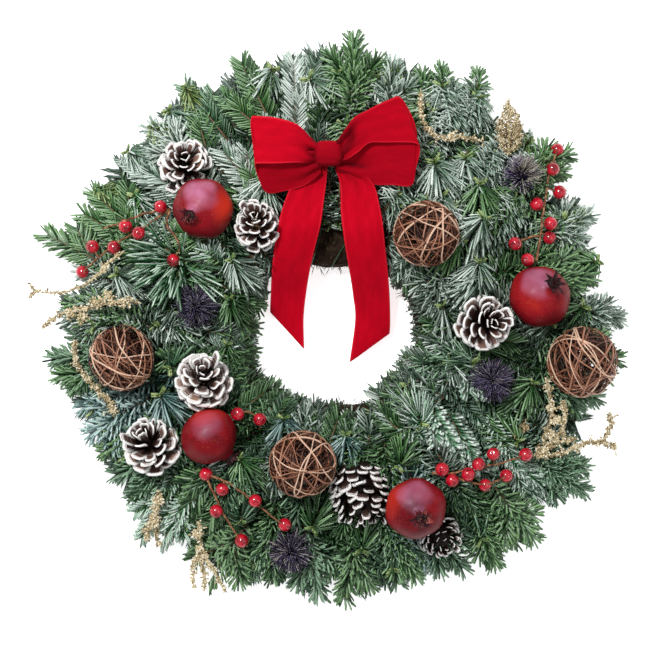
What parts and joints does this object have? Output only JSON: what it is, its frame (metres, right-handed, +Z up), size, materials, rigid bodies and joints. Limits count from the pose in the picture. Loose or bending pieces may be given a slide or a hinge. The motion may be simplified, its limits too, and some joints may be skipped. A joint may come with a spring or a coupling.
{
  "type": "fresh evergreen wreath",
  "caption": "Round fir wreath on a moss ring, with frosted cones, dried pomegranates, vine balls, sea holly, red berries, gold grasses and a red velvet bow",
  "frame": {"origin": "On the surface under the wreath, at the centre of its outline.", "axes": "+Z up out of the wreath's face as it lies on its back, +Y towards the bow, which is the top when it hangs, +X to the right as it is looked at."},
  "size_m": [0.6055, 0.5768, 0.1195],
  "materials": {
    "fir": "matte",
    "moss": "matte",
    "galvanised_wire": "dull",
    "green_wire": "satin",
    "pine_cone": "matte",
    "pomegranate_skin": "satin",
    "vine": "matte",
    "thistle": "matte",
    "berry": "gloss",
    "dried_grass": "matte",
    "velvet": "velvet"
  },
  "bodies": {
    "root": {"berry_pair_left": "berry", "berry_spray_left": "berry", "berry_spray_low_left": "berry", "berry_spray_low_right": "berry", "berry_spray_right": "berry", "binding_wire": "green_wire", "bow_knot": "velvet", "bow_loop_left": "velvet", "bow_loop_right": "velvet", "bow_tail_left": "velvet", "bow_tail_right": "velvet", "bow_wire": "green_wire", "cream_spray_bottom": "dried_grass", "fir_bunch_01": "fir", "fir_bunch_02": "fir", "fir_bunch_03": "fir", "fir_bunch_04": "fir", "fir_bunch_05": "fir", "fir_bunch_06": "fir", "fir_bunch_07": "fir", "fir_bunch_08": "fir", "fir_bunch_09": "fir", "fir_bunch_10": "fir", "fir_bunch_11": "fir", "fir_bunch_12": "fir", "fir_bunch_13": "fir", "fir_bunch_14": "fir", "fir_bunch_15": "fir", "fir_bunch_16": "fir", "fir_bunch_17": "fir", "fir_bunch_18": "fir", "gold_plume": "dried_grass", "gold_twig_by_ball": "dried_grass", "gold_twig_left": "dried_grass", "gold_twig_left_low": "dried_grass", "gold_twig_right": "dried_grass", "gold_twig_top": "dried_grass", "moss_base": "moss", "pale_spray_bottom": "dried_grass", "pine_cone_bottom": "pine_cone", "pine_cone_bottom_rim": "pine_cone", "pine_cone_by_bow": "pine_cone", "pine_cone_left": "pine_cone", "pine_cone_left_rim": "pine_cone", "pine_cone_right": "pine_cone", "pine_cone_top_left": "pine_cone", "pomegranate_bottom": "pomegranate_skin", "pomegranate_left": "pomegranate_skin", "pomegranate_right": "pomegranate_skin", "pomegranate_top_left": "pomegranate_skin", "thistle_bottom": "thistle", "thistle_left": "thistle", "thistle_right": "thistle", "thistle_top_right": "thistle", "vine_ball_bottom": "vine", "vine_ball_left": "vine", "vine_ball_right": "vine", "vine_ball_top": "vine", "wire_ring": "galvanised_wire"}
  },
  "joints": []
}
